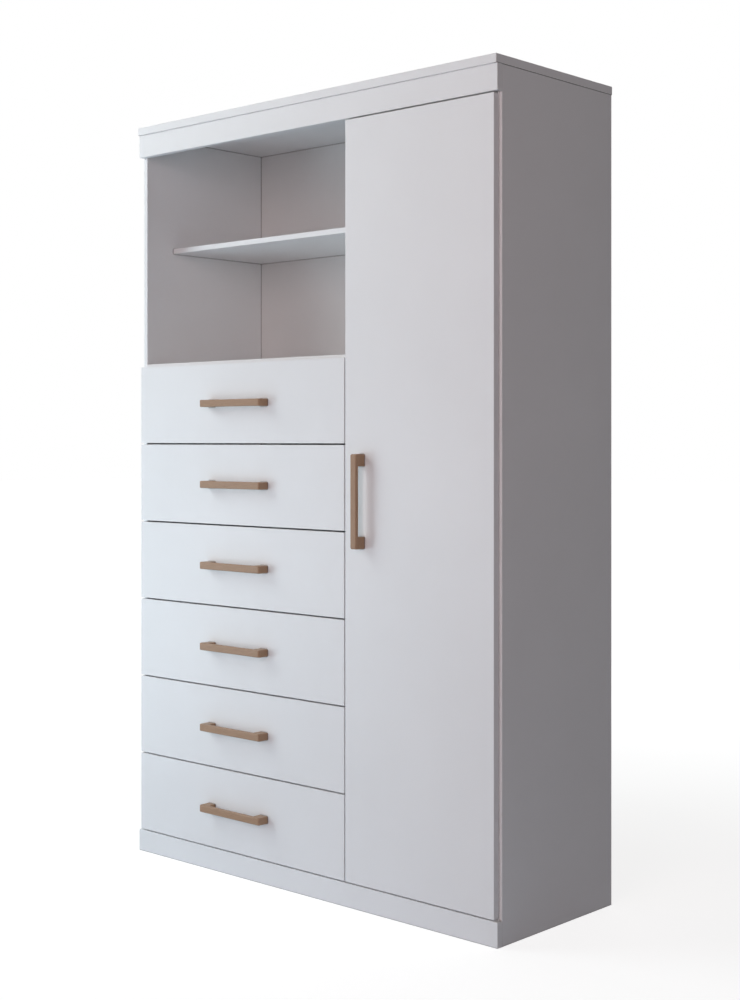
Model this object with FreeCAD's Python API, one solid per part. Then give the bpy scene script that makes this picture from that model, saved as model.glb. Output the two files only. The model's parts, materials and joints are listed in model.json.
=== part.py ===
import FreeCAD, Part
import os

"""A chifforobe: a tall board cabinet with six drawers under an open niche on its left, and a wardrobe bay
behind one door on its right. Millimetres, +Z up. The origin lies on the floor, at the middle of the
cabinet's width and of its depth with the handles. The fronts face -Y and the hinges are on the right."""

# Case, outside
CASE_WIDTH = 1098.0
CASE_HEIGHT = 1750.0
CASE_DEPTH = 398.0          # from the fascia's face to the back sheets' back
TOP_OVERHANG = 4.0          # the top panel's front edge ahead of the fascia
FASCIA_HEIGHT = 53.5
PLINTH_HEIGHT = 51.2
BACK_INSET = 3.0            # back sheets, in from the case's outer sides
BACK_SPLIT = 0.5            # between the two back sheets

# Board and sheet thicknesses
CARCASS_BOARD = 12.0
FRONT_BOARD = 15.0          # door, drawer fronts, fascia and plinth
TOP_BOARD = 18.0
BACK_SHEET = 3.0
DRAWER_BOARD = 12.0
DRAWER_SHEET = 3.0

# Fronts
SIDE_REVEAL = 8.0           # side panel's front edge left bare beside the door and the drawer fronts
FRONT_GAP = 3.3             # between neighbouring fronts, and to the fascia and plinth
AIR_GAP = 1.0               # between the fronts' backs and the carcass's front edges
DOOR_WIDTH = 401.0
DRAWER_COUNT = 6
DRAWER_FRONT_HEIGHT = 183.2
BOTTOM_OVERLAY = 4.0        # how far the lowest fronts cover the bottom panel's edge
NICHE_REVEAL = 7.5          # niche floor's front edge left bare above the top drawer

# Niche shelf
SHELF_HEIGHT = 275.7        # niche floor's top to the shelf's underside
SHELF_SETBACK = 81.5        # from the carcass's front edges

# Hanging rail
RAIL_DROP = 80.0            # top panel's underside to the rail's centre line
RAIL_RADIUS = 12.5
RAIL_WALL = 1.2
RAIL_END_PLAY = 0.3
SOCKET_RADIUS = 16.0
SOCKET_DEPTH = 12.0
SOCKET_BASE = 2.0

# Drawer boxes and runners
BOX_LIFT = 20.0             # drawer front's lower edge to the box's
BOX_HEIGHT = 130.0
BOX_REAR_GAP = 26.0         # between a box's back board and the back sheet
GROOVE_LIFT = 10.0          # box's lower edge to the groove for the sheet
GROOVE_DEPTH = 5.0
SHEET_PLAY = 0.2
RUNNER_HEIGHT = 35.0
RUNNER_SPACE = 12.7         # between a drawer side and the board beside it
RUNNER_WALL = 1.2
RUNNER_PLAY = 0.3
RUNNER_SETBACK = 2.0        # from the carcass's front edges
RUNNER_END_INSET = 2.0      # runner's back end, in from the box's
RUNNER_LIFT = 45.0          # box's lower edge to the runner's centre line
CABINET_MEMBER_WIDTH = 9.0
DRAWER_MEMBER_WIDTH = 8.7

# Bow handles
HANDLE_LENGTH = 200.0
HANDLE_WIDTH = 16.5
HANDLE_DEPTH = 28.0
HANDLE_BAR = 7.5
HANDLE_FOOT = 25.5
HANDLE_CORNER = 4.5
HANDLE_INNER_CORNER = 2.0
HANDLE_EDGE = 2.5           # rounding of the long edges, round the bow's outside
DRAWER_HANDLE_SHIFT = 4.5   # right of the drawer front's centre line
DOOR_HANDLE_INSET = 48.5    # handle's centre line, in from the door's free edge
SCREW_PITCH = 176.0
SCREW_RADIUS = 2.0
SCREW_HEAD_RADIUS = 4.0
SCREW_HEAD = 2.4
SCREW_IN_HANDLE = 12.0
HANDLE_BORE = 14.0

# Concealed hinges
HINGE_COUNT = 3
HINGE_END_INSET = 100.0     # outer hinges, in from the door's ends
CUP_RADIUS = 17.5
CUP_WALL = 1.5
CUP_DEPTH = 11.5
CUP_FLOOR = 1.0
CUP_EDGE_DISTANCE = 5.0     # door's hinge edge to the cup's bore
CUP_FLANGE = 1.0
CUP_FLANGE_RADIUS = 18.2
CUP_EAR_LENGTH = 62.0
CUP_EAR_WIDTH = 14.0
ARM_WIDTH = 14.0
ARM_REACH = 62.0            # arm's back end behind the carcass's front edges
ARM_NOSE_WIDTH = 8.0
ARM_NOSE_DIP = 5.0          # nose's tip ahead of the carcass's front edges
ARM_NOSE_INSET = 12.0       # nose, in from the door's hinge edge
ARM_BAR = 10.0
ARM_BEND = 12.0
ARM_PLAY = 0.3
PLATE_THICKNESS = 2.0
PLATE_LENGTH = 48.0
PLATE_WIDTH = 20.0
PLATE_SETBACK = 37.0        # plate's centre line behind the carcass's front edges

# Small screws that hold the runners and the hinges
FIXING_RADIUS = 1.75
FIXING_LENGTH = 10.0        # under the head
FIXING_HEAD_RADIUS = 3.5
FIXING_HEAD = 1.5
RUNNER_SCREW_INSET = 32.0   # from a runner member's ends
PLATE_SCREW_PITCH = 32.0
CUP_SCREW_PITCH = 48.0

# Fasteners between the boards
DOWEL_RADIUS = 3.0
DOWEL_LENGTH = 24.0
DOWEL_IN_FACE = 8.0         # how deep a dowel sits in the face it enters
DOWEL_INSET = 45.0          # from the boards' front and back edges
FASCIA_DOWEL_SPREAD = 26.0
PLINTH_DOWEL_SPREAD = 24.0
PANEL_SCREW_RADIUS = 2.25
PANEL_SCREW_HEAD_RADIUS = 4.5
PANEL_SCREW_HEAD = 3.0
PANEL_SCREW_LENGTH = 50.0
PANEL_SCREW_INSET = 50.0
BORE_PLAY = 0.05            # radial, round every dowel, screw and cup
BORE_END_PLAY = 0.5

# Levels and planes that follow from the sizes above
FACE_Y = (HANDLE_DEPTH + AIR_GAP - CASE_DEPTH) / 2
CARCASS_Y = FACE_Y + FRONT_BOARD
BACK_Y = FACE_Y + CASE_DEPTH
BOARD_BACK_Y = BACK_Y - BACK_SHEET
FRONT_Y = FACE_Y - AIR_GAP
FRONT_BACK_Y = FRONT_Y + FRONT_BOARD

LEFT_X = -CASE_WIDTH / 2
RIGHT_X = CASE_WIDTH / 2
BAY_LEFT_X = LEFT_X + CARCASS_BOARD
BAY_RIGHT_X = RIGHT_X - CARCASS_BOARD
DOOR_RIGHT_X = RIGHT_X - SIDE_REVEAL
DOOR_LEFT_X = DOOR_RIGHT_X - DOOR_WIDTH
DRAWER_LEFT_X = LEFT_X + SIDE_REVEAL
DRAWER_RIGHT_X = DOOR_LEFT_X - FRONT_GAP
DIVIDER_X = DOOR_LEFT_X - FRONT_GAP / 2
DIVIDER_LEFT_X = DIVIDER_X - CARCASS_BOARD / 2
DIVIDER_RIGHT_X = DIVIDER_X + CARCASS_BOARD / 2

FRONTS_Z = PLINTH_HEIGHT + FRONT_GAP
BOTTOM_TOP_Z = FRONTS_Z + BOTTOM_OVERLAY
BOTTOM_Z = BOTTOM_TOP_Z - CARCASS_BOARD
DRAWER_PITCH = DRAWER_FRONT_HEIGHT + FRONT_GAP
DRAWERS_TOP_Z = FRONTS_Z + DRAWER_COUNT * DRAWER_PITCH - FRONT_GAP
NICHE_TOP_Z = DRAWERS_TOP_Z + NICHE_REVEAL
NICHE_Z = NICHE_TOP_Z - CARCASS_BOARD
CEILING_Z = CASE_HEIGHT - TOP_BOARD
FASCIA_Z = CEILING_Z - FASCIA_HEIGHT
DOOR_TOP_Z = FASCIA_Z - FRONT_GAP
SHELF_Z = NICHE_TOP_Z + SHELF_HEIGHT
SHELF_FRONT_Y = CARCASS_Y + SHELF_SETBACK
BOX_BACK_Y = BOARD_BACK_Y - BOX_REAR_GAP
RUNNER_Y = CARCASS_Y + RUNNER_SETBACK
RUNNER_LENGTH = BOX_BACK_Y - RUNNER_END_INSET - RUNNER_Y
RAIL_Y = (CARCASS_Y + BOARD_BACK_Y) / 2
RAIL_Z = CEILING_Z - RAIL_DROP
CUP_X = DOOR_RIGHT_X - CUP_EDGE_DISTANCE - CUP_RADIUS

X_AXIS = FreeCAD.Vector(1, 0, 0)
Y_AXIS = FreeCAD.Vector(0, 1, 0)
Z_AXIS = FreeCAD.Vector(0, 0, 1)


def block(x0, x1, y0, y1, z0, z1):
    """A box between two planes on each axis."""
    return Part.makeBox(x1 - x0, y1 - y0, z1 - z0, FreeCAD.Vector(x0, y0, z0))


def rod(radius, length, start, axis):
    """A cylinder that starts at a point and runs along an axis."""
    return Part.makeCylinder(radius, length, FreeCAD.Vector(*start), axis)


def drill(board, bores):
    """The board with every bore that reaches it cut out."""
    near = [bore for bore in bores if bore.BoundBox.intersect(board.BoundBox)]
    if not near:
        return board
    return board.cut(near).Solids[0]


def mirrored(shape, x):
    """The shape's mirror image across the plane at x."""
    return shape.mirror(FreeCAD.Vector(x, 0, 0), X_AXIS)


def two_along(start, end, inset):
    """Two places, each set in by the same distance from its end of a span."""
    return (start + inset, end - inset)


# Dowels. Each starts in the face of one board and runs into the edge of the next, along an axis.

def dowel_starts():
    """The centre of each dowel's first end, with the axis that it runs along."""
    starts = []
    half = CARCASS_BOARD / 2
    levels = (
        (CARCASS_Y, NICHE_Z + half, DIVIDER_LEFT_X),
        (SHELF_FRONT_Y, SHELF_Z + half, DIVIDER_LEFT_X),
        (CARCASS_Y, BOTTOM_Z + half, BAY_RIGHT_X),
    )
    for front_y, z, right_x in levels:
        for y in two_along(front_y, BOARD_BACK_Y, DOWEL_INSET):
            starts.append(((BAY_LEFT_X - DOWEL_IN_FACE, y, z), X_AXIS))
            starts.append(((right_x + DOWEL_IN_FACE, y, z), -X_AXIS))
    rear_mid = BOARD_BACK_Y - half
    starts.append(((BAY_LEFT_X - DOWEL_IN_FACE, rear_mid, BOTTOM_Z / 2), X_AXIS))
    starts.append(((BAY_RIGHT_X + DOWEL_IN_FACE, rear_mid, BOTTOM_Z / 2), -X_AXIS))
    face_start = CARCASS_Y - DOWEL_IN_FACE
    fascia_mid = FASCIA_Z + FASCIA_HEIGHT / 2
    plinth_mid = BOTTOM_Z / 2
    for x in (LEFT_X + half, DIVIDER_X, RIGHT_X - half):
        for side in (-1, 1):
            z = fascia_mid + side * FASCIA_DOWEL_SPREAD / 2
            starts.append(((x, face_start, z), Y_AXIS))
            z = plinth_mid + side * PLINTH_DOWEL_SPREAD / 2
            starts.append(((x, face_start, z), Y_AXIS))
    return starts


def dowels():
    return [rod(DOWEL_RADIUS, DOWEL_LENGTH, start, axis) for start, axis in dowel_starts()]


def dowel_bores():
    bores = []
    for start, axis in dowel_starts():
        back = FreeCAD.Vector(*start) - axis * BORE_END_PLAY
        length = DOWEL_LENGTH + 2 * BORE_END_PLAY
        bores.append(rod(DOWEL_RADIUS + BORE_PLAY, length, back, axis))
    return bores


# Countersunk screws, down through the top panel and up through the bottom panel.

def panel_screw_places():
    """The centre of each head's face, with the way that the screw points."""
    places = []
    half = CARCASS_BOARD / 2
    for y in two_along(CARCASS_Y, BOARD_BACK_Y, PANEL_SCREW_INSET):
        for x in (LEFT_X + half, DIVIDER_X, RIGHT_X - half):
            places.append(((x, y, CASE_HEIGHT), -Z_AXIS))
        places.append(((DIVIDER_X, y, BOTTOM_Z), Z_AXIS))
    return places


def countersunk(place, axis, play, end_play):
    """A countersunk screw, or the hole for one when play is given."""
    start = FreeCAD.Vector(*place)
    head_radius = PANEL_SCREW_HEAD_RADIUS + play
    shank_radius = PANEL_SCREW_RADIUS + play
    head = Part.makeCone(head_radius, shank_radius, PANEL_SCREW_HEAD, start, axis)
    shank = rod(shank_radius, PANEL_SCREW_LENGTH + end_play, start, axis)
    return head.fuse(shank).removeSplitter().Solids[0]


def panel_screws():
    return [countersunk(place, axis, 0, 0) for place, axis in panel_screw_places()]


def panel_screw_bores():
    return [countersunk(place, axis, BORE_PLAY, BORE_END_PLAY) for place, axis in panel_screw_places()]


# Small pan head screws, each through thin metal into the board behind it.

def fixing_screw(place, axis):
    """A screw whose head sits on the metal at a place and whose shank points along an axis."""
    start = FreeCAD.Vector(*place)
    head = rod(FIXING_HEAD_RADIUS, FIXING_HEAD, start, -axis)
    shank = rod(FIXING_RADIUS, FIXING_LENGTH, start, axis)
    return head.fuse(shank).removeSplitter().Solids[0]


def fixing_screws(places):
    return [fixing_screw(place, axis) for place, axis in places]


def fixing_bores(places):
    radius = FIXING_RADIUS + BORE_PLAY
    return [rod(radius, FIXING_LENGTH + BORE_END_PLAY, place, axis) for place, axis in places]


def runner_screw_places(number, x_web, towards):
    """The screws of a pair of members: inside the left channel, and mirrored in the right one."""
    x = x_web + towards * RUNNER_WALL
    z = runner_z(number)
    places = []
    for y in two_along(RUNNER_Y, RUNNER_Y + RUNNER_LENGTH, RUNNER_SCREW_INSET):
        places.append(((x, y, z), X_AXIS * -towards))
        places.append(((BAY_LEFT_X + DIVIDER_LEFT_X - x, y, z), X_AXIS * towards))
    return places


def plate_screw_places(level):
    """The two screws of a hinge's plate, into the side panel."""
    x = BAY_RIGHT_X - PLATE_THICKNESS
    y = CARCASS_Y + PLATE_SETBACK
    return [((x, y, level + side * PLATE_SCREW_PITCH / 2), X_AXIS) for side in (-1, 1)]


def cup_screw_places(level):
    """The two screws of a hinge's cup, through its ears into the door."""
    y = FRONT_BACK_Y + CUP_FLANGE
    return [((CUP_X, y, level + side * CUP_SCREW_PITCH / 2), -Y_AXIS) for side in (-1, 1)]


def cabinet_screw_places():
    """Every small screw in the carcass: those of the cabinet's runner members and the hinge plates."""
    places = []
    for number in range(1, DRAWER_COUNT + 1):
        places += runner_screw_places(number, BAY_LEFT_X, 1)
    for level in hinge_levels():
        places += plate_screw_places(level)
    return places


# Carcass boards

def carcass_boards():
    """The fixed boards, before their holes are cut."""
    return {
        "top_panel": block(LEFT_X, RIGHT_X, FACE_Y - TOP_OVERHANG, BACK_Y, CEILING_Z, CASE_HEIGHT),
        "top_fascia": block(LEFT_X, RIGHT_X, FACE_Y, CARCASS_Y, FASCIA_Z, CEILING_Z),
        "side_panel_left": block(LEFT_X, BAY_LEFT_X, CARCASS_Y, BOARD_BACK_Y, 0, CEILING_Z),
        "side_panel_right": block(BAY_RIGHT_X, RIGHT_X, CARCASS_Y, BOARD_BACK_Y, 0, CEILING_Z),
        "centre_divider": block(
            DIVIDER_LEFT_X, DIVIDER_RIGHT_X, CARCASS_Y, BOARD_BACK_Y, BOTTOM_TOP_Z, CEILING_Z),
        "niche_floor": block(BAY_LEFT_X, DIVIDER_LEFT_X, CARCASS_Y, BOARD_BACK_Y, NICHE_Z, NICHE_TOP_Z),
        "niche_shelf": block(
            BAY_LEFT_X, DIVIDER_LEFT_X, SHELF_FRONT_Y, BOARD_BACK_Y, SHELF_Z, SHELF_Z + CARCASS_BOARD),
        "bottom_panel": block(BAY_LEFT_X, BAY_RIGHT_X, CARCASS_Y, BOARD_BACK_Y, BOTTOM_Z, BOTTOM_TOP_Z),
        "plinth_front": block(LEFT_X, RIGHT_X, FACE_Y, CARCASS_Y, 0, PLINTH_HEIGHT),
        "plinth_rear": block(
            BAY_LEFT_X, BAY_RIGHT_X, BOARD_BACK_Y - CARCASS_BOARD, BOARD_BACK_Y, 0, BOTTOM_Z),
        "base_support": block(
            DIVIDER_LEFT_X, DIVIDER_RIGHT_X, CARCASS_Y, BOARD_BACK_Y - CARCASS_BOARD, 0, BOTTOM_Z),
    }


def drilled_boards():
    bores = dowel_bores() + panel_screw_bores() + fixing_bores(cabinet_screw_places())
    return {name: drill(board, bores) for name, board in carcass_boards().items()}


def back_sheets():
    """Thin sheets on the boards' rear edges, one behind each bay, that meet behind the divider."""
    y0, y1 = BOARD_BACK_Y, BACK_Y
    meet = BACK_SPLIT / 2
    return {
        "back_panel_left": block(LEFT_X + BACK_INSET, DIVIDER_X - meet, y0, y1, BOTTOM_Z, CEILING_Z),
        "back_panel_right": block(DIVIDER_X + meet, RIGHT_X - BACK_INSET, y0, y1, BOTTOM_Z, CEILING_Z),
    }


# Hanging rail

def hanging_rail():
    start = DIVIDER_RIGHT_X + SOCKET_BASE + RAIL_END_PLAY
    length = BAY_RIGHT_X - SOCKET_BASE - RAIL_END_PLAY - start
    tube = rod(RAIL_RADIUS, length, (start, RAIL_Y, RAIL_Z), X_AXIS)
    return tube.cut(rod(RAIL_RADIUS - RAIL_WALL, length, (start, RAIL_Y, RAIL_Z), X_AXIS))


def rail_socket(x, axis):
    """A round cup on a board's face, open towards the rail."""
    start = FreeCAD.Vector(x, RAIL_Y, RAIL_Z)
    cup = rod(SOCKET_RADIUS, SOCKET_DEPTH, start, axis)
    pocket = rod(RAIL_RADIUS + BORE_PLAY, SOCKET_DEPTH, start + axis * SOCKET_BASE, axis)
    return cup.cut(pocket)


def rail_sockets():
    return [rail_socket(DIVIDER_RIGHT_X, X_AXIS), rail_socket(BAY_RIGHT_X, -X_AXIS)]


# Bow handle, built lengthwise along X on a face in the plane Y = 0, then placed.

def handle_body():
    """A flat bar on two feet, with its outer and inner corners rounded and its long edges eased."""
    half = HANDLE_LENGTH / 2
    wide = HANDLE_WIDTH / 2
    outer = block(-half, half, -HANDLE_DEPTH, 0, -wide, wide)
    corners = [e for e in outer.Edges if is_upright(e) and e.CenterOfMass.y < -HANDLE_DEPTH / 2]
    outer = outer.makeFillet(HANDLE_CORNER, corners)
    reach = half - HANDLE_FOOT
    inner = block(-reach, reach, HANDLE_BAR - HANDLE_DEPTH, 0, -wide, wide)
    corners = [e for e in inner.Edges if is_upright(e) and e.CenterOfMass.y < -HANDLE_BAR / 2]
    inner = inner.makeFillet(HANDLE_INNER_CORNER, corners)
    bow = outer.cut(inner).removeSplitter().Solids[0]
    return bow.makeFillet(HANDLE_EDGE, outer_rims(bow, half))


def is_upright(edge):
    """True for a straight edge along Z."""
    return edge.BoundBox.XLength < 1e-6 and edge.BoundBox.YLength < 1e-6


def outer_rims(bow, half):
    """The edges round the bow's outside, where its end and front faces meet its top and bottom."""
    rims = []
    for edge in bow.Edges:
        middle = edge.CenterOfMass
        on_flat = edge.BoundBox.ZLength < 1e-6
        on_front = middle.y < -HANDLE_DEPTH + HANDLE_CORNER
        on_end = abs(middle.x) > half - HANDLE_CORNER
        if on_flat and (on_front or on_end) and middle.y < -1e-6:
            rims.append(edge)
    return rims


def handle_shape():
    bores = []
    for side in (-1, 1):
        start = (side * SCREW_PITCH / 2, -HANDLE_BORE, 0)
        bores.append(rod(SCREW_RADIUS + BORE_PLAY, HANDLE_BORE, start, Y_AXIS))
    return handle_body().cut(bores).Solids[0]


def handle_screws_shape():
    """The two screws of a handle, with their heads against the back of the front board."""
    screws = []
    for side in (-1, 1):
        x = side * SCREW_PITCH / 2
        shank = rod(SCREW_RADIUS, SCREW_IN_HANDLE + FRONT_BOARD, (x, -SCREW_IN_HANDLE, 0), Y_AXIS)
        head = rod(SCREW_HEAD_RADIUS, SCREW_HEAD, (x, FRONT_BOARD, 0), Y_AXIS)
        screws.append(shank.fuse(head).removeSplitter().Solids[0])
    return screws


def handle_bores_shape():
    """The two clearance holes of a handle, through its front board."""
    radius = SCREW_RADIUS + BORE_PLAY
    return [rod(radius, FRONT_BOARD, (side * SCREW_PITCH / 2, 0, 0), Y_AXIS) for side in (-1, 1)]


def placed(shape, x, z, upright):
    """The shape moved onto the fronts' face, turned to stand upright when asked."""
    moved = shape.copy()
    if upright:
        moved.rotate(FreeCAD.Vector(0, 0, 0), Y_AXIS, 90)
    moved.translate(FreeCAD.Vector(x, FRONT_Y, z))
    return moved


# Drawers, numbered from the top

def drawer_front_z(number):
    return FRONTS_Z + (DRAWER_COUNT - number) * DRAWER_PITCH


def runner_z(number):
    return drawer_front_z(number) + BOX_LIFT + RUNNER_LIFT


def drawer_handle_place(number):
    x = (DRAWER_LEFT_X + DRAWER_RIGHT_X) / 2 + DRAWER_HANDLE_SHIFT
    return x, drawer_front_z(number) + DRAWER_FRONT_HEIGHT / 2


def drawer_groove(box_z):
    """The groove that takes the sheet, as one block that reaches into the sides and the front."""
    x0 = BAY_LEFT_X + RUNNER_SPACE + DRAWER_BOARD - GROOVE_DEPTH
    x1 = DIVIDER_LEFT_X - RUNNER_SPACE - DRAWER_BOARD + GROOVE_DEPTH
    z0 = box_z + GROOVE_LIFT
    z1 = z0 + DRAWER_SHEET + SHEET_PLAY
    return block(x0, x1, FRONT_BACK_Y - GROOVE_DEPTH, BOX_BACK_Y, z0, z1)


def drawer_front(number):
    z = drawer_front_z(number)
    board = block(
        DRAWER_LEFT_X, DRAWER_RIGHT_X, FRONT_Y, FRONT_BACK_Y, z, z + DRAWER_FRONT_HEIGHT)
    x, handle_z = drawer_handle_place(number)
    bores = [placed(bore, x, handle_z, False) for bore in handle_bores_shape()]
    return drill(board, bores + [drawer_groove(z + BOX_LIFT)])


def drawer_sides(number):
    box_z = drawer_front_z(number) + BOX_LIFT
    x = BAY_LEFT_X + RUNNER_SPACE
    side = block(
        x, x + DRAWER_BOARD, FRONT_BACK_Y, BOX_BACK_Y, box_z, box_z + BOX_HEIGHT)
    screws = runner_screw_places(number, x, -1)
    side = drill(side, [drawer_groove(box_z)] + fixing_bores(screws))
    return [side, mirrored(side, (BAY_LEFT_X + DIVIDER_LEFT_X) / 2)]


def drawer_back(number):
    """The back board stands on the sheet, between the sides."""
    box_z = drawer_front_z(number) + BOX_LIFT
    return block(
        BAY_LEFT_X + RUNNER_SPACE + DRAWER_BOARD, DIVIDER_LEFT_X - RUNNER_SPACE - DRAWER_BOARD,
        BOX_BACK_Y - DRAWER_BOARD, BOX_BACK_Y,
        box_z + GROOVE_LIFT + DRAWER_SHEET, box_z + BOX_HEIGHT)


def drawer_bottom(number):
    """The sheet lies in the groove and runs back under the back board."""
    groove = drawer_groove(drawer_front_z(number) + BOX_LIFT).BoundBox
    return block(
        groove.XMin + SHEET_PLAY, groove.XMax - SHEET_PLAY, groove.YMin + SHEET_PLAY, groove.YMax,
        groove.ZMin, groove.ZMin + DRAWER_SHEET)


def channel(x_web, towards, width, z, height):
    """A runner member: a channel with its web on one side and its lips reaching the other way."""
    y0, y1 = RUNNER_Y, RUNNER_Y + RUNNER_LENGTH
    x_lips = x_web + towards * width
    x_low, x_high = sorted((x_web, x_lips))
    outer = block(x_low, x_high, y0, y1, z - height / 2, z + height / 2)
    x_low, x_high = sorted((x_web + towards * RUNNER_WALL, x_lips))
    hollow = height / 2 - RUNNER_WALL
    return outer.cut(block(x_low, x_high, y0, y1, z - hollow, z + hollow))


def runner_pair(number, x_web, towards, width, height):
    """A left member and its mirror image on the right of the drawers' bay."""
    bores = fixing_bores(runner_screw_places(number, x_web, towards))
    left = drill(channel(x_web, towards, width, runner_z(number), height), bores)
    return [left, mirrored(left, (BAY_LEFT_X + DIVIDER_LEFT_X) / 2)]


def cabinet_runners():
    members = []
    for number in range(1, DRAWER_COUNT + 1):
        members += runner_pair(number, BAY_LEFT_X, 1, CABINET_MEMBER_WIDTH, RUNNER_HEIGHT)
    return members


def drawer_hardware(number):
    """The drawer's own runner members, nested in the cabinet's, with their screws and the handle's."""
    x_web = BAY_LEFT_X + RUNNER_SPACE
    height = RUNNER_HEIGHT - 2 * (RUNNER_WALL + RUNNER_PLAY)
    members = runner_pair(number, x_web, -1, DRAWER_MEMBER_WIDTH, height)
    screws = fixing_screws(runner_screw_places(number, x_web, -1))
    x, z = drawer_handle_place(number)
    return members + screws + [placed(screw, x, z, False) for screw in handle_screws_shape()]


def drawer_nodes(number):
    x, z = drawer_handle_place(number)
    return {
        "front": drawer_front(number),
        "sides": drawer_sides(number),
        "back": drawer_back(number),
        "bottom": drawer_bottom(number),
        "handle": placed(handle_shape(), x, z, False),
        "hardware": drawer_hardware(number),
    }


# Door and its hinges

def hinge_levels():
    first, last = two_along(FRONTS_Z, DOOR_TOP_Z, HINGE_END_INSET)
    step = (last - first) / (HINGE_COUNT - 1)
    return [first + step * index for index in range(HINGE_COUNT)]


def door_handle_place():
    return DOOR_LEFT_X + DOOR_HANDLE_INSET, (FRONTS_Z + DOOR_TOP_Z) / 2


def door_panel():
    board = block(DOOR_LEFT_X, DOOR_RIGHT_X, FRONT_Y, FRONT_BACK_Y, FRONTS_Z, DOOR_TOP_Z)
    x, z = door_handle_place()
    bores = [placed(bore, x, z, True) for bore in handle_bores_shape()]
    for level in hinge_levels():
        start = (CUP_X, FRONT_BACK_Y, level)
        bores.append(rod(CUP_RADIUS + BORE_PLAY, CUP_DEPTH, start, -Y_AXIS))
        bores += fixing_bores(cup_screw_places(level))
    return drill(board, bores)


def hinge_cup(level):
    """A round cup sunk in the door's back, with a flange and two ears on the surface."""
    y = FRONT_BACK_Y
    cup = rod(CUP_RADIUS, CUP_DEPTH, (CUP_X, y, level), -Y_AXIS)
    flange = rod(CUP_FLANGE_RADIUS, CUP_FLANGE, (CUP_X, y, level), Y_AXIS)
    wide, tall = CUP_EAR_WIDTH / 2, CUP_EAR_LENGTH / 2
    ears = block(CUP_X - wide, CUP_X + wide, y, y + CUP_FLANGE, level - tall, level + tall)
    hollow_depth = CUP_DEPTH - CUP_FLOOR + CUP_FLANGE
    hollow = rod(CUP_RADIUS - CUP_WALL, hollow_depth, (CUP_X, y + CUP_FLANGE, level), -Y_AXIS)
    cup = cup.fuse([flange, ears]).cut(hollow).removeSplitter().Solids[0]
    return drill(cup, fixing_bores(cup_screw_places(level)))


def hinge_arm(level):
    """A cranked arm on a cross plate on the side panel. Its nose dips into the cup."""
    nose_outer = DOOR_RIGHT_X - ARM_NOSE_INSET
    nose_inner = nose_outer - ARM_NOSE_WIDTH
    seat = BAY_RIGHT_X - PLATE_THICKNESS
    back = CARCASS_Y + ARM_REACH
    lift = CARCASS_Y + ARM_PLAY
    outline = [
        (nose_inner, CARCASS_Y - ARM_NOSE_DIP),
        (nose_outer, CARCASS_Y - ARM_NOSE_DIP),
        (nose_outer, lift),
        (seat, lift),
        (seat, back),
        (seat - ARM_BAR, back),
        (seat - ARM_BAR, CARCASS_Y + ARM_BEND + ARM_NOSE_WIDTH),
        (nose_inner, CARCASS_Y + ARM_BEND),
    ]
    z = level - ARM_WIDTH / 2
    corners = [FreeCAD.Vector(x, y, z) for x, y in outline]
    arm = Part.Face(Part.makePolygon(corners + corners[:1])).extrude(Z_AXIS * ARM_WIDTH)
    plate_y = CARCASS_Y + PLATE_SETBACK
    plate = block(
        seat, BAY_RIGHT_X, plate_y - PLATE_WIDTH / 2, plate_y + PLATE_WIDTH / 2,
        level - PLATE_LENGTH / 2, level + PLATE_LENGTH / 2)
    arm = arm.fuse(plate).removeSplitter().Solids[0]
    return drill(arm, fixing_bores(plate_screw_places(level)))


def door_screws():
    """The handle's two screws and the hinge cups' small ones."""
    x, z = door_handle_place()
    screws = [placed(screw, x, z, True) for screw in handle_screws_shape()]
    for level in hinge_levels():
        screws += fixing_screws(cup_screw_places(level))
    return screws


def door_nodes():
    x, z = door_handle_place()
    return {
        "door_panel": door_panel(),
        "door_handle": placed(handle_shape(), x, z, True),
        "door_screws": door_screws(),
        "hinge_cups": [hinge_cup(level) for level in hinge_levels()],
    }


def all_nodes():
    nodes = drilled_boards()
    nodes.update(back_sheets())
    nodes["hanging_rail"] = hanging_rail()
    nodes["rail_sockets"] = rail_sockets()
    nodes["hinge_arms"] = [hinge_arm(level) for level in hinge_levels()]
    nodes["cabinet_runners"] = cabinet_runners()
    nodes["cabinet_screws"] = fixing_screws(cabinet_screw_places())
    nodes["panel_screws"] = panel_screws()
    nodes["dowels"] = dowels()
    nodes.update(door_nodes())
    for number in range(1, DRAWER_COUNT + 1):
        for piece, shape in drawer_nodes(number).items():
            nodes[f"drawer_{number}_{piece}"] = shape
    return nodes


def write(nodes):
    os.makedirs("parts", exist_ok=True)
    for name, shape in nodes.items():
        solid = Part.makeCompound(shape) if isinstance(shape, list) else shape
        solid.exportStep(f"parts/{name}.step")
        print(name, len(solid.Solids), round(solid.Volume), solid.isValid())


write(all_nodes())
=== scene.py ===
import json
import math

import bpy
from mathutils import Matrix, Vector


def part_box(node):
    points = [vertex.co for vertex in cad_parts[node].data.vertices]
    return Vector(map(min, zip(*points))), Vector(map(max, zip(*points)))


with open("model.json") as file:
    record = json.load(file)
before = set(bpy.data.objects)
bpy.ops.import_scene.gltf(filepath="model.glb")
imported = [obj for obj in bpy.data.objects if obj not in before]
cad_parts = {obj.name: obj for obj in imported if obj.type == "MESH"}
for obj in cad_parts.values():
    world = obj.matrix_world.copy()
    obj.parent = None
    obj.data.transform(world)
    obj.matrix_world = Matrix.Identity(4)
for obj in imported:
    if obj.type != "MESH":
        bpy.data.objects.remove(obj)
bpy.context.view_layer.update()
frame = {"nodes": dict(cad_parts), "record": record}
nodes = frame["nodes"]
slots = {row["node"]: row["material_slot"] for row in frame["record"]["subparts"]}


# Lengths are in metres, colours are linear, and texture scales are in features per metre.

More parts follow.
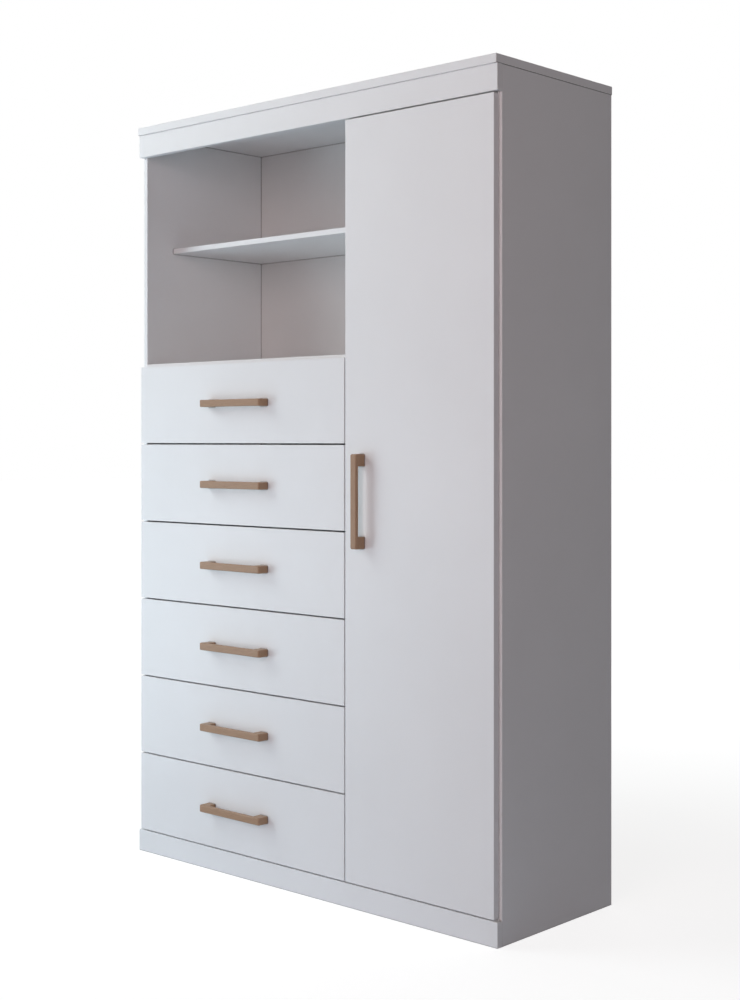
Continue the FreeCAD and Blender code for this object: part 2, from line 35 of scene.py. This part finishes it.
FRONTWARD = (0, -1, 0)
REARWARD = (0, 1, 0)
UPWARD = (0, 0, 1)
EVEN = (1, 1, 1)
ALONG = 0.7                 # cosine above which a normal counts as pointing along an axis
NOISE_LOW = 0.3             # most of a noise texture lies between these two
NOISE_HIGH = 0.7
BOARD_EDGE = 0.0008         # rounding of the boards' long edges


# Node helpers

def new_material(name):
    """A node material, with its tree and its Principled shader."""
    material = bpy.data.materials.new(name)
    material.use_nodes = True
    tree = material.node_tree
    return material, tree, tree.nodes["Principled BSDF"]


def add(tree, kind, **values):
    """A node with some of its properties set."""
    node = tree.nodes.new(kind)
    for key, value in values.items():
        setattr(node, key, value)
    return node


def feed(tree, socket, value):
    """Links an output to a socket, or writes a plain value on it."""
    if isinstance(value, bpy.types.NodeSocket):
        tree.links.new(value, socket)
    elif isinstance(value, tuple) and socket.type == "RGBA":
        socket.default_value = (*value, 1)
    else:
        socket.default_value = value


def plug(tree, node, values):
    """Feeds each of the node's enabled sockets that the values name."""
    for name, value in values.items():
        feed(tree, [s for s in node.inputs if s.name == name and s.enabled][0], value)


def math_node(tree, operation, *values):
    """The result of one operation on some values."""
    node = add(tree, "ShaderNodeMath", operation=operation)
    for socket, value in zip(node.inputs, values):
        feed(tree, socket, value)
    return node.outputs[0]


def times(tree, first, *others):
    """The product of some values."""
    for value in others:
        first = math_node(tree, "MULTIPLY", first, value)
    return first


def vector_value(tree, operation, *vectors):
    """A dot product, a distance or a length."""
    node = add(tree, "ShaderNodeVectorMath", operation=operation)
    for socket, value in zip(node.inputs, vectors):
        feed(tree, socket, value)
    return node.outputs["Value"]


def coordinates(tree, kind):
    """The object's own place or normal, or the direction in which the world lies."""
    return add(tree, "ShaderNodeTexCoord").outputs[kind]


def object_axes(tree):
    """The object's own X, Y and Z, each as a value."""
    split = add(tree, "ShaderNodeSeparateXYZ")
    tree.links.new(coordinates(tree, "Object"), split.inputs[0])
    return split.outputs


def stretched(tree, stretch):
    """The object's own coordinates, stretched along its axes."""
    mapping = add(tree, "ShaderNodeMapping")
    plug(tree, mapping, {"Vector": coordinates(tree, "Object"), "Scale": stretch})
    return mapping.outputs["Vector"]


def noise(tree, scale, detail=3.0, stretch=EVEN, roughness=0.5):
    """The value of a noise texture."""
    texture = add(tree, "ShaderNodeTexNoise")
    plug(tree, texture, {
        "Vector": stretched(tree, stretch),
        "Scale": scale,
        "Detail": detail,
        "Roughness": roughness,
    })
    return texture.outputs["Fac"]


def cells(tree, scale):
    """A random colour for each cell."""
    texture = add(tree, "ShaderNodeTexVoronoi")
    plug(tree, texture, {"Vector": stretched(tree, EVEN), "Scale": scale})
    return texture.outputs["Color"]


def ramp(tree, value, dark, light, start=NOISE_LOW, end=NOISE_HIGH):
    """Maps a value between two levels to a colour between two colours."""
    node = add(tree, "ShaderNodeValToRGB")
    for stop, position, colour in zip(node.color_ramp.elements, (start, end), (dark, light)):
        stop.position = position
        stop.color = (*colour, 1)
    tree.links.new(value, node.inputs["Fac"])
    return node.outputs["Color"]


def span(tree, value, low, high, start=NOISE_LOW, end=NOISE_HIGH):
    """Maps start to end onto low to high, and holds the result between them."""
    node = add(tree, "ShaderNodeMapRange")
    plug(tree, node, {"Value": value, "From Min": start, "From Max": end, "To Min": low, "To Max": high})
    return node.outputs["Result"]


def mix(tree, factor, first, second):
    """The first colour where the factor is 0, and the second where it is 1."""
    node = add(tree, "ShaderNodeMix", data_type="RGBA")
    plug(tree, node, {"Factor": factor, "A": first, "B": second})
    return [s for s in node.outputs if s.type == "RGBA"][0]


def bump(tree, height, strength, distance=0.0002):
    """The normal of a surface with a fine relief."""
    node = add(tree, "ShaderNodeBump")
    plug(tree, node, {"Height": height, "Strength": strength, "Distance": distance})
    return node.outputs["Normal"]


# Masks, which are 1 where something shows and 0 elsewhere

FLAT = 0.999                # how far the rounded normal agrees with the true one on a flat face
DEEP = 0.5                  # how open a point deep in a joint is, where 1 is a free surface
RIM = 0.85                  # how open a point at the rim of a joint is
SHADE_START = 0.0015        # where the shading of the case's joints starts, behind its front edges
SHADE_FULL = 0.0095         # where it is full


def facing(tree, axis):
    """1 where the object's own normal points along an axis."""
    along = vector_value(tree, "DOT_PRODUCT", coordinates(tree, "Normal"), axis)
    return math_node(tree, "GREATER_THAN", along, ALONG)


def edge_mask(tree, radius, reach):
    """1 on sharp outer edges, falling to 0 within about the radius, broken up by noise."""
    rounded = add(tree, "ShaderNodeBevel", samples=4)
    plug(tree, rounded, {"Radius": radius})
    true = add(tree, "ShaderNodeNewGeometry")
    agreement = vector_value(tree, "DOT_PRODUCT", rounded.outputs["Normal"], true.outputs["Normal"])
    bend = span(tree, agreement, low=1, high=0, start=1 - reach, end=FLAT)
    return times(tree, bend, span(tree, noise(tree, scale=90), low=0.2, high=1))


def crevice_shade(tree, reach):
    """Painted shade mask: 1 deep in a joint between two pieces, where the occlusion is strong, falling
    to 0 a little way out of it.
    """
    node = add(tree, "ShaderNodeAmbientOcclusion", samples=8)
    plug(tree, node, {"Distance": reach})
    return span(tree, node.outputs["AO"], low=1, high=0, start=DEEP, end=RIM)


def front_joint_shade(tree):
    """Where painted joint shade goes: 1 on faces to the front, but 0 where the fascia meets the top
    panel without a gap.
    """
    low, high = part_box("top_fascia")
    middle = (low[2] + high[2]) / 2
    below = math_node(tree, "LESS_THAN", object_axes(tree)["Z"], middle)
    return times(tree, facing(tree, FRONTWARD), below)


def case_joint_shade(tree):
    """Where painted joint shade goes: 0 on the case's front edges where the fronts cover them, 1 beside
    the fronts and inside.
    """
    at = object_axes(tree)
    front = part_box("centre_divider")[0][1]
    inside = span(tree, at["Y"], low=0, high=1, start=front + SHADE_START, end=front + SHADE_FULL)
    from_middle = math_node(tree, "ABSOLUTE", at["X"])
    beside = math_node(tree, "GREATER_THAN", from_middle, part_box("door_panel")[1][0])
    return math_node(tree, "MAXIMUM", inside, beside)


def side_seam_shadow(tree):
    """Where a painted seam shadow goes: 1 on the eased edges where the top panel meets the side panels'
    outer faces.
    """
    at = object_axes(tree)
    low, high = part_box("top_panel")
    height = math_node(tree, "ABSOLUTE", math_node(tree, "SUBTRACT", at["Z"], low[2]))
    from_middle = math_node(tree, "ABSOLUTE", at["X"])
    outer = math_node(tree, "GREATER_THAN", from_middle, high[0] - BOARD_EDGE)
    return times(tree, outer, math_node(tree, "LESS_THAN", height, BOARD_EDGE))


def rubbed(tree, tone, colour, radius, reach, strength):
    """The tone, with another colour on the sharp outer edges."""
    return mix(tree, times(tree, edge_mask(tree, radius, reach), strength), tone, colour)


# White laminate

WHITE_LOW = (0.815, 0.817, 0.821)
WHITE_HIGH = (0.845, 0.847, 0.851)
WHITE_WORN = (0.62, 0.60, 0.57)
# Painted shade: joints between parts darken towards this colour where an occlusion mask finds them
JOINT_SHADE = (0.30, 0.28, 0.27)
JOINT_SHADE_REACH = 0.005
JOINT_SHADE_STRENGTH = 0.8
# Near-black painted shadow for the groove where the top panel meets the side panels
SEAM_SHADOW = (0.10, 0.095, 0.09)


def with_joint_shade(tree, tone, near):
    """The tone with painted shade in its joints, where near is 1."""
    return mix(tree, times(tree, crevice_shade(tree, JOINT_SHADE_REACH), near, JOINT_SHADE_STRENGTH), tone, JOINT_SHADE)


def laminate_tone(tree, near):
    """White melamine: even, with slow drifts of tone, rubbed edges and painted shade in its joints."""
    tone = ramp(tree, noise(tree, scale=2.5), WHITE_LOW, WHITE_HIGH, start=0.35, end=0.65)
    tone = rubbed(tree, tone, WHITE_WORN, radius=0.0012, reach=0.3, strength=0.35)
    return with_joint_shade(tree, tone, near)


def satin(tree):
    """The laminate's roughness, which drifts a little."""
    return span(tree, noise(tree, scale=60), low=0.38, high=0.50)


def pearl(tree):
    """The laminate's fine grain."""
    return noise(tree, scale=1400, detail=2)


def laminate(name, joint_shade_mask):
    """White laminate all round, with painted shade in its joints where the mask is 1."""
    material, tree, shader = new_material(name)
    plug(tree, shader, {
        "Base Color": laminate_tone(tree, joint_shade_mask(tree)),
        "Roughness": satin(tree),
        "Normal": bump(tree, pearl(tree), strength=0.12),
    })
    return material


FLAKE_DARK = (0.30, 0.19, 0.10)
FLAKE_LIGHT = (0.62, 0.47, 0.30)
FLAKE_GAP = (0.13, 0.08, 0.045)
CHIPBOARD_ROUGHNESS = 0.85
PEARL_HEIGHT = 0.25
CHIP_HEIGHT = 1.5


def chipboard_tone(tree):
    """Pressed wood chips: pale flakes of several tans with dark gaps."""
    flakes = ramp(tree, cells(tree, scale=420), FLAKE_DARK, FLAKE_LIGHT, start=0.1, end=0.9)
    gaps = span(tree, noise(tree, scale=700, detail=4), low=0, high=0.6, start=0.55, end=0.75)
    return mix(tree, gaps, flakes, FLAKE_GAP)


def raw_backed_laminate():
    """The same laminate with a bare chipboard edge at the rear, where no edging is glued on."""
    material, tree, shader = new_material("white_laminate_raw_rear")
    rear = facing(tree, REARWARD)
    # Painted shadow: a near-black line in the groove where the top panel meets the side panels' outer
    # faces
    white = mix(tree, side_seam_shadow(tree), laminate_tone(tree, case_joint_shade(tree)), SEAM_SHADOW)
    fine = times(tree, pearl(tree), PEARL_HEIGHT)
    coarse = times(tree, noise(tree, scale=500), rear, CHIP_HEIGHT)
    plug(tree, shader, {
        "Base Color": mix(tree, rear, white, chipboard_tone(tree)),
        "Roughness": math_node(tree, "MAXIMUM", satin(tree), times(tree, rear, CHIPBOARD_ROUGHNESS)),
        "Normal": bump(tree, math_node(tree, "ADD", fine, coarse), strength=0.5),
    })
    return material


# Hardboard

PAINT_LOW = (0.700, 0.694, 0.690)
PAINT_HIGH = (0.735, 0.730, 0.726)
FIBRE_DARK = (0.105, 0.058, 0.030)
FIBRE_LIGHT = (0.225, 0.135, 0.075)
FIBRE_BLOTCH = (0.24, 0.155, 0.09)


def hardboard():
    """Thin sheet: painted white on the face seen inside, bare brown fibre behind and below."""
    material, tree, shader = new_material("hardboard")
    painted = math_node(tree, "MAXIMUM", facing(tree, FRONTWARD), facing(tree, UPWARD))
    paint = ramp(tree, noise(tree, scale=4), PAINT_LOW, PAINT_HIGH, start=0.35, end=0.65)
    fibre = ramp(tree, noise(tree, scale=900, detail=5, roughness=0.7), FIBRE_DARK, FIBRE_LIGHT)
    fibre = mix(tree, span(tree, noise(tree, scale=14), low=0, high=0.35), fibre, FIBRE_BLOTCH)
    plug(tree, shader, {
        # The white face gets painted shade in its joints
        "Base Color": mix(tree, painted, fibre, with_joint_shade(tree, paint, near=1)),
        "Roughness": span(tree, noise(tree, scale=120), low=0.5, high=0.68),
        "Normal": bump(tree, noise(tree, scale=1100, detail=4), strength=0.25),
    })
    return material


# Handles

ROSE_DARK = (0.316, 0.193, 0.115)
ROSE_LIGHT = (0.392, 0.248, 0.157)
ROSE_WORN = (0.42, 0.29, 0.20)
# Painted shade colour for the joints where the handle meets the front board
ROSE_JOINT_SHADE = (0.12, 0.075, 0.055)
ROSE_JOINT_SHADE_REACH = 0.004


def rose_handle(name, stretch):
    """Matt rose beige with faint streaks along the bar, paler rubbed edges, and painted shade where its
    feet meet the front.
    """
    material, tree, shader = new_material(name)
    streaks = noise(tree, scale=60, detail=4, stretch=stretch, roughness=0.65)
    tone = ramp(tree, streaks, ROSE_DARK, ROSE_LIGHT)
    tone = rubbed(tree, tone, ROSE_WORN, radius=0.0015, reach=0.4, strength=0.5)
    plug(tree, shader, {
        # Painted shade where the handle's feet meet the front board
        "Base Color": mix(tree, crevice_shade(tree, ROSE_JOINT_SHADE_REACH), tone, ROSE_JOINT_SHADE),
        "Specular IOR Level": 0.3,
        "Roughness": span(tree, noise(tree, scale=150), low=0.36, high=0.50),
        "Normal": bump(tree, streaks, strength=0.15),
    })
    return material


# Hardware

ZINC_DARK = (0.44, 0.45, 0.47)
ZINC_LIGHT = (0.55, 0.56, 0.58)
ALUMINIUM_DARK = (0.66, 0.67, 0.69)
ALUMINIUM_LIGHT = (0.76, 0.77, 0.78)
GREY_DARK = (0.42, 0.42, 0.43)
GREY_LIGHT = (0.47, 0.47, 0.48)
BEECH_DARK = (0.42, 0.26, 0.145)
BEECH_LIGHT = (0.60, 0.41, 0.25)


def zinc_steel():
    """Zinc plated steel: grey, faintly cloudy, with fine lines from rolling and dull scuffs."""
    material, tree, shader = new_material("zinc_plated_steel")
    clouds = noise(tree, scale=70, detail=4, roughness=0.6)
    lines = noise(tree, scale=200, stretch=(14, 1, 14))
    scuffs = span(tree, noise(tree, scale=260, detail=4), low=0, high=0.16, start=0.5)
    plug(tree, shader, {
        "Base Color": ramp(tree, clouds, ZINC_DARK, ZINC_LIGHT),
        "Metallic": 1.0,
        "Roughness": math_node(tree, "ADD", span(tree, lines, low=0.26, high=0.36), scuffs),
        "Normal": bump(tree, lines, strength=0.12),
    })
    return material


def aluminium_tube():
    """Satin aluminium tube, drawn lengthwise along X."""
    material, tree, shader = new_material("satin_aluminium")
    lines = noise(tree, scale=900, stretch=(0.01, 1, 1))
    plug(tree, shader, {
        "Base Color": ramp(tree, lines, ALUMINIUM_DARK, ALUMINIUM_LIGHT),
        "Metallic": 1.0,
        "Roughness": span(tree, lines, low=0.24, high=0.38),
        "Normal": bump(tree, lines, strength=0.15, distance=0.0001),
    })
    return material


def grey_plastic():
    """Moulded grey plastic with a fine spark texture."""
    material, tree, shader = new_material("grey_moulded_plastic")
    plug(tree, shader, {
        "Base Color": ramp(tree, noise(tree, scale=30), GREY_DARK, GREY_LIGHT),
        "Roughness": span(tree, noise(tree, scale=400), low=0.42, high=0.56),
        "Normal": bump(tree, noise(tree, scale=2500, detail=1), strength=0.2, distance=0.0001),
    })
    return material


def beech():
    """Raw beech: pink tan, with short dark flecks along the grain."""
    material, tree, shader = new_material("raw_beech")
    grain = noise(tree, scale=260, detail=5, stretch=(1, 1, 0.2), roughness=0.6)
    plug(tree, shader, {
        "Base Color": ramp(tree, grain, BEECH_DARK, BEECH_LIGHT),
        "Roughness": span(tree, grain, low=0.55, high=0.75),
        "Normal": bump(tree, grain, strength=0.2),
    })
    return material


# Every CAD node gets the material of its slot, or a variant of it that fits its place.

BY_SLOT = {
    "white_board": laminate("white_laminate", front_joint_shade),
    "white_sheet": hardboard(),
    "rose_handle": rose_handle("rose_lacquer", stretch=(1, 14, 14)),
    "zinc_steel": zinc_steel(),
    "rail_tube": aluminium_tube(),
    "grey_plastic": grey_plastic(),
    "beech": beech(),
}
INNER_BOARDS = ("centre_divider", "niche_floor", "niche_shelf", "bottom_panel")
OUTER_BOARDS = ("top_panel", "side_panel_left", "side_panel_right")
VARIANTS = {
    laminate("white_laminate_case", case_joint_shade): INNER_BOARDS,
    raw_backed_laminate(): OUTER_BOARDS,
    rose_handle("rose_lacquer_upright", stretch=(14, 14, 1)): ("door_handle",),
}


def dress():
    """Sets the material of every node."""
    for name, piece in nodes.items():
        piece.material_slots[0].material = BY_SLOT[slots[name]]
    for material, names in VARIANTS.items():
        for name in names:
            nodes[name].material_slots[0].material = material


dress()


# Eased edges on the boards. A node group marks their long sharp edges, and a bevel rounds them.

WELD = 1e-5                 # corners of neighbouring faces that lie this close become one
SHARP_ANGLE = 0.7           # radians
LONG_EDGE = 0.006           # more than a facet round a bore, so that bores keep their edges


def sharp_edges(group):
    """1 on edges where two faces meet at a wide enough angle."""
    angle = add(group, "GeometryNodeInputMeshEdgeAngle")
    return math_node(group, "GREATER_THAN", angle.outputs["Unsigned Angle"], SHARP_ANGLE)


def long_edges(group):
    """1 on edges that aren't part of a bore's rim."""
    ends = add(group, "GeometryNodeInputMeshEdgeVertices")
    length = vector_value(group, "DISTANCE", ends.outputs["Position 1"], ends.outputs["Position 2"])
    return math_node(group, "GREATER_THAN", length, LONG_EDGE)


def chain(group, steps):
    """Leads each step's geometry into the next one."""
    for before, after in zip(steps, steps[1:]):
        out = [s for s in before.outputs if s.type == "GEOMETRY"][0]
        into = [s for s in after.inputs if s.type == "GEOMETRY"][0]
        group.links.new(out, into)


def edge_group():
    """Welds a board's faces and gives its long sharp edges a bevel weight."""
    group = bpy.data.node_groups.new("board_edges", "GeometryNodeTree")
    for way in ("INPUT", "OUTPUT"):
        group.interface.new_socket("Geometry", in_out=way, socket_type="NodeSocketGeometry")
    start = add(group, "NodeGroupInput")
    end = add(group, "NodeGroupOutput")
    weld = add(group, "GeometryNodeMergeByDistance")
    plug(group, weld, {"Distance": WELD})
    sharp = sharp_edges(group)
    normal = add(group, "GeometryNodeSetMeshNormal", mode="SHARPNESS")
    plug(group, normal, {"Remove Custom": True, "Edge Sharpness": sharp})
    weight = add(group, "GeometryNodeStoreNamedAttribute", data_type="FLOAT", domain="EDGE")
    plug(group, weight, {"Name": "bevel_weight_edge", "Value": times(group, sharp, long_edges(group))})
    chain(group, (start, weld, normal, weight, end))
    return group


def ease(piece, group):
    """Rounds a board's long edges a little."""
    mark = piece.modifiers.new("mark", "NODES")
    mark.node_group = group
    bevel = piece.modifiers.new("ease", "BEVEL")
    bevel.limit_method = "WEIGHT"
    bevel.width = BOARD_EDGE
    bevel.segments = 2
    bevel.use_clamp_overlap = False
    bevel.harden_normals = True


def ease_boards():
    """Rounds the edges of every white board."""
    group = edge_group()
    for name, slot in slots.items():
        if slot == "white_board":
            ease(nodes[name], group)


ease_boards()


# Floor

FLOOR_REACH = 30
PAPER_LOW = (0.345, 0.345, 0.345)
PAPER_HIGH = (0.355, 0.355, 0.355)
FLOOR_BOUNCE = (0.66, 0.74, 0.84)
GLOW = 0.82                 # added to the lit paper near the cabinet, so that it reads white
GLOW_NEAR = 1.0             # distance from the middle at which the glow starts to grow
GLOW_FAR = 4.0              # distance at which it is white by itself


def seen_ray(tree):
    """1 for rays from the camera and for mirrored and transmitted ones, 0 for diffuse light."""
    path = add(tree, "ShaderNodeLightPath")
    seen = math_node(tree, "MAXIMUM", path.outputs["Is Camera Ray"], path.outputs["Is Glossy Ray"])
    return math_node(tree, "MAXIMUM", seen, path.outputs["Is Transmission Ray"])


def floor_material():
    """Reads white where light reaches it, keeps the object's soft shadow, and bounces cool light."""
    material, tree, shader = new_material("floor")
    tree.nodes.remove(shader)
    seen = seen_ray(tree)
    paper = ramp(tree, noise(tree, scale=3), PAPER_LOW, PAPER_HIGH)
    diffuse = add(tree, "ShaderNodeBsdfDiffuse")
    plug(tree, diffuse, {"Color": mix(tree, seen, FLOOR_BOUNCE, paper)})
    distance = vector_value(tree, "LENGTH", coordinates(tree, "Object"))
    level = span(tree, distance, low=GLOW, high=1, start=GLOW_NEAR, end=GLOW_FAR)
    glow = add(tree, "ShaderNodeEmission")
    plug(tree, glow, {"Strength": times(tree, level, seen)})
    both = add(tree, "ShaderNodeAddShader")
    tree.links.new(diffuse.outputs[0], both.inputs[0])
    tree.links.new(glow.outputs[0], both.inputs[1])
    tree.links.new(both.outputs[0], tree.nodes["Material Output"].inputs["Surface"])
    return material


def make_floor():
    """A wide flat sheet of paper that isn't part of the object."""
    mesh = bpy.data.meshes.new("floor")
    corners = [(x * FLOOR_REACH, y * FLOOR_REACH, 0) for x, y in ((-1, -1), (1, -1), (1, 1), (-1, 1))]
    mesh.from_pydata(corners, [], [(0, 1, 2, 3)])
    mesh.materials.append(floor_material())
    floor = bpy.data.objects.new("floor", mesh)
    bpy.context.scene.collection.objects.link(floor)


# Camera

CAMERA_PLACE = (2.4366, -2.6057, 0.9928)
CAMERA_HEADING = 42.5907    # degrees to the left of straight ahead
CAMERA_TILT = 90            # degrees up from straight down, so level
SENSOR = 36                 # millimetres
LENS = 56.42
CAMERA_SHIFT = -0.0593      # share of the sensor's width


def make_camera():
    """The view of the cabinet from its front right."""
    data = bpy.data.cameras.new("camera")
    data.sensor_width = SENSOR
    data.lens = LENS
    data.shift_y = CAMERA_SHIFT
    camera = bpy.data.objects.new("camera", data)
    camera.location = CAMERA_PLACE
    camera.rotation_euler = (math.radians(CAMERA_TILT), 0, math.radians(CAMERA_HEADING))
    bpy.context.scene.collection.objects.link(camera)
    bpy.context.scene.camera = camera


# Light

AIM_HEIGHT = 0.9
WORLD_WHITE = (1, 1, 1)
ROOM_DIM = 0.04             # light from the rear and the sides
ROOM_BRIGHT = 0.07          # light from straight ahead of the fronts


def make_world():
    """A dim surround that is brightest ahead of the fronts, and plain white where it is seen."""
    world = bpy.data.worlds.new("world")
    bpy.context.scene.world = world
    world.use_nodes = True
    tree = world.node_tree
    ahead = vector_value(tree, "DOT_PRODUCT", coordinates(tree, "Generated"), FRONTWARD)
    room = span(tree, ahead, low=ROOM_DIM, high=ROOM_BRIGHT, start=0, end=1)
    strength = math_node(tree, "MAXIMUM", room, seen_ray(tree))
    plug(tree, tree.nodes["Background"], {"Color": WORLD_WHITE, "Strength": strength})


def softbox(name, place, size, power, tint):
    """A square soft lamp that points at the cabinet's middle. Its power is in watts."""
    data = bpy.data.lights.new(name, "AREA")
    data.size = size
    data.energy = power
    data.color = tint
    lamp = bpy.data.objects.new(name, data)
    lamp.location = place
    lamp.visible_camera = False
    x, y, z = place
    lamp.rotation_euler = (math.atan2(math.hypot(x, y), z - AIM_HEIGHT), 0, math.atan2(x, -y))
    bpy.context.scene.collection.objects.link(lamp)


def make_lamps():
    """Cool light from the left, warmer light from the front right, and some from behind."""
    softbox("key", place=(-2.4, -1.8, 2.8), size=2.2, power=51, tint=(0.90, 0.99, 1.0))
    softbox("low_left", place=(-1.5, -1.5, 0.6), size=1.0, power=11, tint=(0.74, 0.91, 1.0))
    softbox("front", place=(1.2, -3.6, 1.7), size=2.0, power=39, tint=(1.0, 0.81, 0.80))
    softbox("right", place=(2.6, -1.6, 2.2), size=1.4, power=6, tint=(1.0, 0.80, 0.81))
    softbox("rear", place=(-1.0, 3.0, 1.8), size=2.5, power=24, tint=(1.0, 1.0, 1.0))


make_floor()
make_camera()
make_world()
make_lamps()
bpy.context.scene.view_settings.view_transform = "Standard"
